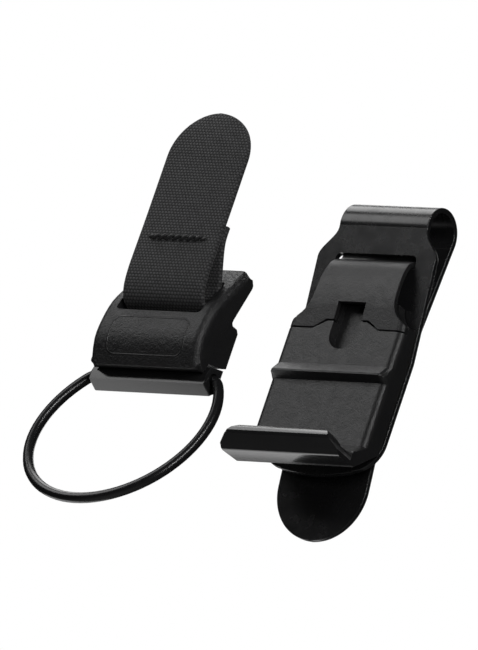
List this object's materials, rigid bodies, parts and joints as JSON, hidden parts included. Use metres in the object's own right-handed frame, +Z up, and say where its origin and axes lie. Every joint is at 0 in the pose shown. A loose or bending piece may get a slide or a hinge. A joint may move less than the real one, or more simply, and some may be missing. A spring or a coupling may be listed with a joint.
{
  "type": "key organiser",
  "caption": "Belt clip with a magnetic dock, and a pull-off key holder with a webbing tab and a wire key ring.",
  "frame": {"origin": "centre of the clip's fold, where the belt's top edge sits", "axes": "+X right, +Y towards the wearer's body, +Z up; the dock faces -Y"},
  "size_m": [0.0434, 0.0764, 0.1018],
  "materials": {
    "black_steel": "satin black coating",
    "black_moulding": "fine spark texture",
    "bare_steel": "satin",
    "nickel_magnet": "plated",
    "bush_bronze": "dark sintered",
    "black_webbing": "tight rib weave",
    "black_thread": "bonded thread"
  },
  "bodies": {
    "clip": {"clip_plate": "black_steel", "dock_body": "black_moulding", "dock_bridge": "black_moulding", "dock_magnet_left": "nickel_magnet", "dock_magnet_right": "nickel_magnet", "magnet_backing": "bare_steel", "rivet_lower_left": "bare_steel", "rivet_lower_right": "bare_steel", "rivet_upper_left": "bare_steel", "rivet_upper_right": "bare_steel"},
    "tongue": {"clip_tongue": "black_steel"},
    "holder": {"holder_shell": "black_moulding", "holder_bar": "black_moulding", "strap_pin": "bare_steel", "keeper_plate_left": "bare_steel", "keeper_plate_right": "bare_steel", "bar_dowel_left": "bare_steel", "bar_dowel_right": "bare_steel", "ring_bush_left": "bush_bronze", "ring_bush_right": "bush_bronze"},
    "pull_tab": {"strap_webbing": "black_webbing", "strap_tail": "black_webbing", "bar_tack": "black_thread"},
    "ring": {"key_ring": "black_steel"}
  },
  "joints": [
    {"name": "dock_slide", "type": "slide", "parent": "clip", "child": "holder", "axis": [0, 0.9477, 0.3193], "range_m": [0, 0.0483]},
    {"name": "tongue_flex", "type": "hinge", "parent": "clip", "child": "tongue", "pos_m": [0, 0, 0], "axis": [1, 0, 0], "range_deg": [0, 8], "stiffness_Nm_per_rad": 1.5},
    {"name": "strap_swing", "type": "hinge", "parent": "holder", "child": "pull_tab", "pos_m": [0, -0.06065, -0.047], "axis": [1, 0, 0], "range_deg": [-4, 40]},
    {"name": "ring_swing", "type": "hinge", "parent": "holder", "child": "ring", "pos_m": [0, -0.0581, -0.0629], "axis": [1, 0, 0], "range_deg": [-120, 50]}
  ]
}
